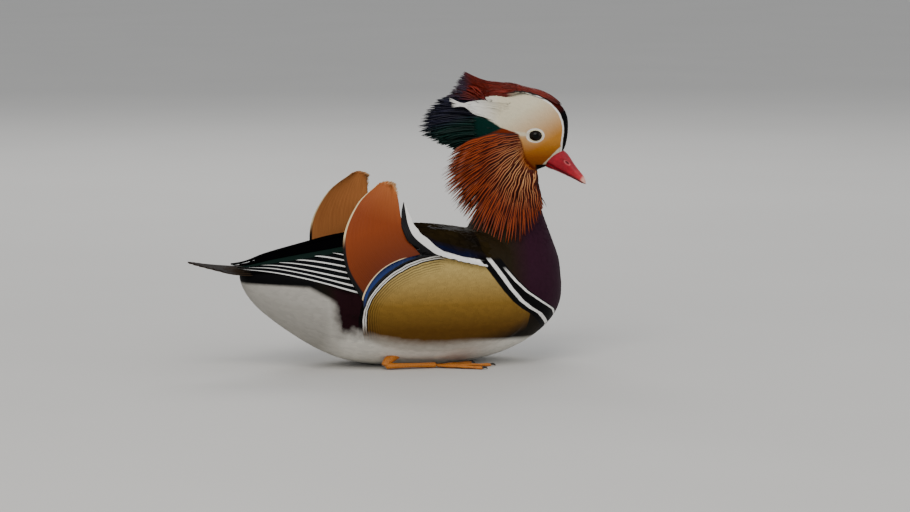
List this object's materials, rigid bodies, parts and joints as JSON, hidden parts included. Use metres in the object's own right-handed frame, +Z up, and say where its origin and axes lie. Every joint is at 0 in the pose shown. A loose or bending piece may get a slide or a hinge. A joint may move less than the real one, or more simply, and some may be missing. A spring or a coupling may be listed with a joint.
{
  "type": "mandarin duck model",
  "caption": "Life-size still model of a drake mandarin duck as it swims, resting on its belly with its feet tucked under and its sail feathers raised.",
  "frame": {"origin": "middle of the flat under the belly, on the floor the bird rests on", "axes": "+X towards the breast, along the body; +Y towards the bird's left; +Z up"},
  "size_m": [0.314, 0.1322, 0.224],
  "materials": {
    "body_feathers": "soft matte feathers, dark breast and pale belly",
    "neck_feathers": "sleek dark feathers",
    "face_feathers": "short velvety feathers",
    "bill": "smooth horn with a low gloss",
    "nail": "smooth pale horn",
    "eye": "wet gloss",
    "crown": "sleek glossy feathers",
    "nape": "glossy dark feathers",
    "white_feathers": "soft matte feathers",
    "hackles": "long silky feathers",
    "wing_feathers": "smooth dark flight feathers",
    "sail_feathers": "smooth broad feathers",
    "flank_feathers": "fine matte feathers",
    "tail_feathers": "smooth dark feathers",
    "leg": "scaly skin, low gloss"
  },
  "bodies": {
    "root": {"torso": "body_feathers", "neck": "neck_feathers", "head": "face_feathers", "bill_upper": "bill", "bill_lower": "bill", "bill_nail": "nail", "crest_crown": "crown", "crest_nape": "nape", "tail": "tail_feathers", "eye_left": "eye", "brow_left": "white_feathers", "ruff_left": "hackles", "wing_left": "wing_feathers", "sail_left": "sail_feathers", "plume_left": "white_feathers", "flank_left": "flank_feathers", "leg_left": "leg", "foot_left": "leg", "eye_right": "eye", "brow_right": "white_feathers", "ruff_right": "hackles", "wing_right": "wing_feathers", "sail_right": "sail_feathers", "plume_right": "white_feathers", "flank_right": "flank_feathers", "leg_right": "leg", "foot_right": "leg"}
  },
  "joints": []
}
